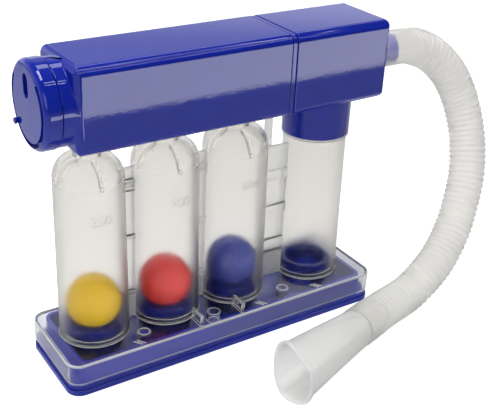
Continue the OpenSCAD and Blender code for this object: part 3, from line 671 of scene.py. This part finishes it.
def make_hose(line):
    """The ribbed hose, from where it grips the spigot to the mouthpiece cuff."""
    path = [SPIGOT_START] + line
    curve = bpy.data.curves.new("hose_line", "CURVE")
    curve.dimensions = "3D"
    spline = curve.splines.new("POLY")
    spline.points.add(len(path) - 1)
    for point, place in zip(spline.points, path):
        point.co = (*place, 1.0)
    length = sum((b - a).length for a, b in zip(path, path[1:]))
    ribs = math.floor((length - CUFF_LENGTH - SMOOTH_LENGTH) / RIB_PITCH)
    mesh = grown("ribbed_hose", bpy.data.objects.new("hose_line", curve), ribbed_tube_tree(), {
        "Rib Pitch": RIB_PITCH, "Rib Start": length - ribs * RIB_PITCH, "Material": MILKY_HOSE})
    close_ends(mesh, (path[0], path[-1]))
    hose = piece("ribbed_hose", mesh, "trainer", ("hose", "hose_port_cuff"))
    return hose, length


def along_mouth_axis(line):
    """Turns what stands along Z onto the mouthpiece's axis, from the hose's end."""
    run = (line[-1] - line[-2]).normalized()
    lean = math.acos(run.z)
    bearing = math.atan2(run.y, run.x)
    turn = Matrix.Rotation(bearing, 4, "Z") @ Matrix.Rotation(lean, 4, "Y")
    return Matrix.Translation(line[-1]) @ turn


def heading(angle):
    """A level direction at one angle."""
    return Vector((math.cos(angle), math.sin(angle)))


def circle(centre_x, radius, height, sides):
    """The points of one level ring."""
    ring = []
    for k in range(sides):
        angle = 2 * math.pi * k / sides
        ring.append(Vector((centre_x + radius * math.cos(angle), radius * math.sin(angle),
                            height)))
    return ring


def lofted(name, rings, material):
    """A closed ring-shaped solid from rings of points that follow each other round its wall."""
    sides = len(rings[0])
    count = len(rings)
    points = [point for ring in rings for point in ring]
    faces = []
    for i in range(count):
        for k in range(sides):
            a = i * sides + k
            b = i * sides + (k + 1) % sides
            after = ((i + 1) % count - i) * sides
            faces.append((a, b, b + after, a + after))
    mesh = bpy.data.meshes.new(name)
    mesh.from_pydata(points, [], faces)
    mesh.materials.append(material)
    mesh.polygons.foreach_set("use_smooth", [True] * len(mesh.polygons))
    skin = bmesh.new()
    skin.from_mesh(mesh)
    bmesh.ops.recalc_face_normals(skin, faces=skin.faces)
    skin.to_mesh(mesh)
    skin.free()
    return mesh


def mouth_ring(share, past, grow):
    """One ring of the mouthpiece: round at the cuff, an oval with one flat at the lips."""
    long_radius = CUFF_END_RADIUS + (LIP_LONG_RADIUS - CUFF_END_RADIUS) * share + grow
    short_radius = CUFF_END_RADIUS + (LIP_SHORT_RADIUS - CUFF_END_RADIUS) * share + grow
    power = 1 - 0.2 * share
    flat = heading(LIP_FLAT_AT)
    ridge = heading(LIP_RIDGE_AT)
    turn = Matrix.Rotation(LIP_TURN, 2)
    ring = []
    for k in range(MOUTHPIECE_SIDES):
        angle = 2 * math.pi * k / MOUTHPIECE_SIDES
        c = math.cos(angle)
        s = math.sin(angle)
        point = Vector((long_radius * math.copysign(abs(c) ** power, c),
                        short_radius * math.copysign(abs(s) ** power, s)))
        point -= max(point.dot(flat) - CUFF_END_RADIUS - grow, 0) * flat
        if grow < -0.001 and point.dot(ridge) > 0:
            near = max(0, 1 - abs(point.cross(ridge)) / LIP_RIDGE_REACH)
            point -= LIP_RIDGE_HEIGHT * share * near * ridge
        ring.append((turn @ point).to_3d() + Vector((0, 0, past)))
    return ring


def make_mouthpiece(place):
    """The mouthpiece, with the insert that plugs into the cuff and a thin lip."""
    start = CUFF_LENGTH
    full = MOUTHPIECE_LENGTH
    plugged = start - MOUTHPIECE_INSERT
    rings = [mouth_ring(0, plugged, -INSERT_STEP), mouth_ring(0, start - 0.0002, -INSERT_STEP),
             mouth_ring(0, start, -0.0004), mouth_ring(0, start + 0.0003, 0)]
    steps = 24
    flare_end = 1 - 0.002 / full
    for i in range(1, steps + 1):
        share = flare_end * i / steps
        rings.append(mouth_ring(share, start + share * full, 0))
    lip_start = len(rings) - 1
    for share, grow in ((flare_end + 0.006, 0.0005), (flare_end + 0.014, 0.0008),
                        (1 - 0.01, 0.0008), (1 - 0.002, 0.0005), (1, 0.0)):
        rings.append(mouth_ring(min(share, 1), start + share * full, grow))
    rings.append(mouth_ring(1, start + full, -0.0008))
    rings.append(mouth_ring(1 - 0.006, start + full * (1 - 0.006), -MOUTHPIECE_WALL))
    lip_end = len(rings) - 1
    for i in range(steps, -1, -1):
        share = flare_end * i / steps
        rings.append(mouth_ring(share, start + share * full, -MOUTHPIECE_WALL))
    rings.append(mouth_ring(0, start - 0.001, -0.002))
    rings.append(mouth_ring(0, plugged, -0.002))
    mesh = lofted("mouthpiece_shell", rings, MILKY_MOUTHPIECE)
    # The lip's faces take the pale edge material, which paints a highlight along the rim.
    mesh.materials.append(PAINTED_HIGHLIGHT)
    for face in mesh.polygons:
        if lip_start <= face.index // MOUTHPIECE_SIDES < lip_end:
            face.material_index = 1
    mesh.transform(place)
    return piece("mouthpiece_shell", mesh, "trainer", ("mouthpiece",))


def make_mouth_cuff(place):
    """The smooth end of the hose that grips the mouthpiece's insert."""
    outline = ((CUFF_BORE, 0.0), (0.0095, 0.0), (0.0099, 0.0002), (0.01, 0.0008),
               (0.01, CUFF_LENGTH - 0.0006), (0.0098, CUFF_LENGTH - 0.0001),
               (CUFF_END_RADIUS, CUFF_LENGTH), (CUFF_BORE, CUFF_LENGTH))
    rings = [circle(0.0, radius, past, 64) for radius, past in outline]
    mesh = lofted("mouthpiece_cuff", rings, MILKY_HOSE)
    mesh.set_sharp_from_angle(angle=math.radians(50))
    mesh.transform(place)
    return piece("mouthpiece_cuff", mesh, "trainer", ("hose_mouth_cuff",))


def make_ball(colour_name, side, material):
    """A light ball with the fine parting line of its two halves."""
    skin = bmesh.new()
    bmesh.ops.create_uvsphere(skin, u_segments=96, v_segments=64, radius=BALL_RADIUS)
    for vert in skin.verts:
        if abs(vert.co.z) < NEAR / 2:
            vert.co *= 1 + PARTING_LINE / BALL_RADIUS
    bmesh.ops.rotate(skin, verts=skin.verts, matrix=Matrix.Rotation(BALL_TILT, 3, "X"))
    bmesh.ops.translate(skin, verts=skin.verts, vec=(COLUMN_X[side], 0, BALL_HEIGHT))
    mesh = bpy.data.meshes.new(colour_name + "_ball_shell")
    skin.to_mesh(mesh)
    skin.free()
    mesh.materials.append(material)
    mesh.polygons.foreach_set("use_smooth", [True] * len(mesh.polygons))
    return piece(colour_name + "_ball_shell", mesh, colour_name + "_ball",
                 ("ball_" + colour_name,))


def make_flow_number(digits, side, turn, material):
    """Raised figures on the front of a column, bent round its tapered wall."""
    words = bpy.data.curves.new("flow_" + digits, "FONT")
    words.body = digits
    words.size = NUMBER_SIZE
    words.extrude = 0.0001
    words.bevel_depth = 0.00005
    words.align_x = "CENTER"
    words.align_y = "CENTER"
    flat = bpy.data.objects.new("flow_" + digits, words)
    bpy.context.scene.collection.objects.link(flat)
    bpy.context.view_layer.update()
    mesh = bpy.data.meshes.new_from_object(
        flat.evaluated_get(bpy.context.evaluated_depsgraph_get()))
    bpy.data.objects.remove(flat)
    skin = bmesh.new()
    skin.from_mesh(mesh)
    bmesh.ops.remove_doubles(skin, verts=skin.verts, dist=JOIN_DISTANCE)
    for k in range(-12, 13):
        everything = skin.verts[:] + skin.edges[:] + skin.faces[:]
        bmesh.ops.bisect_plane(skin, geom=everything, plane_co=(k * NUMBER_STRIP, 0, 0),
                               plane_no=(1, 0, 0))
    for vert in skin.verts:
        angle = vert.co.x / COLUMN_RADIUS + math.radians(turn)
        height = vert.co.y + NUMBER_HEIGHT
        taper = COLUMN_DRAFT * (height - COLUMN_FOOT) / COLUMN_HEIGHT
        radius = COLUMN_RADIUS - taper + vert.co.z
        vert.co = (COLUMN_X[side] + radius * math.sin(angle), -radius * math.cos(angle), height)
    bmesh.ops.recalc_face_normals(skin, faces=skin.faces)
    skin.to_mesh(mesh)
    skin.free()
    mesh.name = "flow_" + digits
    mesh.materials.clear()
    mesh.materials.append(material)
    number = piece("flow_" + digits, mesh, "trainer", ())
    return number


def make_base():
    """Tray, cover and the rings that the columns stand round."""
    rounded_copy("tray", "base_tray", BLUE, SOFT_EDGE)
    rounded_copy("cover", "manifold_cover", CLEAR, FINE_EDGE, PAINTED_HIGHLIGHT, round_cover_rim)
    # The seats and the down column's foot take a darker copy of the blue, which paints the shade
    # the columns cast there.
    for side in COLUMN_X:
        rounded_copy(side + "_ball_seat", "seat_" + side, PAINTED_SHADE_BLUE, SOFT_EDGE)
    rounded_copy("down_column_foot", "down_spigot", PAINTED_SHADE_BLUE, SOFT_EDGE)


def make_weld(side, x):
    """The bead of the weld round a column's foot, pale with a painted highlight."""
    rings = [circle(x, radius, COLUMN_FOOT + up, 96) for radius, up in WELD_OUTLINE]
    weld = piece(side + "_weld", lofted(side + "_weld", rings, PAINTED_HIGHLIGHT), "trainer", ())


def make_columns():
    """Ball columns, down column and the ladder webs between them."""
    for side in COLUMN_X:
        rounded_copy(side + "_ball_column", "column_" + side, FROSTED, 0)
        # The webs' rounded edges take the pale edge material, which paints the rungs' highlight
        # lines.
        rounded_copy(side + "_web", "web_" + side, WEB, WEB_EDGE, PAINTED_HIGHLIGHT)
        make_weld(side, COLUMN_X[side])
    rounded_copy("down_tube", "down_column", FROSTED, 0)
    make_weld("down", DOWN_X)


def make_duct():
    """Long duct, its divider and the port that the hose sits on."""
    long_duct = rounded_copy("long_duct", "duct_housing", BLUE, SOFT_EDGE)
    soften_corners(long_duct, DUCT_END_X[0], -1)
    joint = rounded_copy("duct_joint", "duct_divider", BLUE, THIN_EDGE)
    open_groove(joint, JOINT_X[0], 0.0003)
    open_groove(joint, JOINT_X[1], -0.0005)
    hose_port = rounded_copy("hose_port", "port_housing", BLUE, SOFT_EDGE)
    soften_corners(hose_port, DUCT_END_X[1], 1)


def make_regulator():
    """Cap with its slot and air port, and the shutter that turns behind it."""
    cap = rounded_copy("air_cap", "regulator_cap", BLUE, FINE_EDGE)
    open_groove(cap, CAP_REAR_X, -0.0004)
    rounded_copy("air_shutter", "shutter_disc", BLUE, FINE_EDGE)
    rounded_copy("shutter_ring", "shutter_retainer", BLUE, THIN_EDGE)


place_camera()
SKIN = moulded_skin_group()
DUST = settled_dust_group()
BLUE = blue_gloss()
PAINTED_SHADE_BLUE = painted_shade_blue()
CLEAR = clear_cover()
WEB = ladder_webs()
PAINTED_HIGHLIGHT = painted_highlight_edges()
FROSTED = frosted_columns()
MILKY_HOSE = milky_hose()
MILKY_MOUTHPIECE = milky_mouthpiece()

middle_line = hose_line()
hose, hose_length = make_hose(middle_line)
mouth_place = along_mouth_axis(middle_line)
mouth_cuff = make_mouth_cuff(mouth_place)
mouthpiece = make_mouthpiece(mouth_place)

lay_floor()
paint_the_room()
light_the_room()
make_base()
make_columns()
make_ball("yellow", "left", ball_plastic("yellow_ball_plastic", (0.67, 0.43, 0.005)))
make_ball("red", "middle", ball_plastic("red_ball_plastic", (0.61, 0.034, 0.034)))
make_ball("blue", "right", ball_plastic("blue_ball_plastic", (0.029, 0.044, 0.27)))
make_flow_number("1200", "left", -10, FROSTED)
make_flow_number("900", "middle", -1, FROSTED)
make_flow_number("600", "right", -1, FROSTED)
make_duct()
make_regulator()
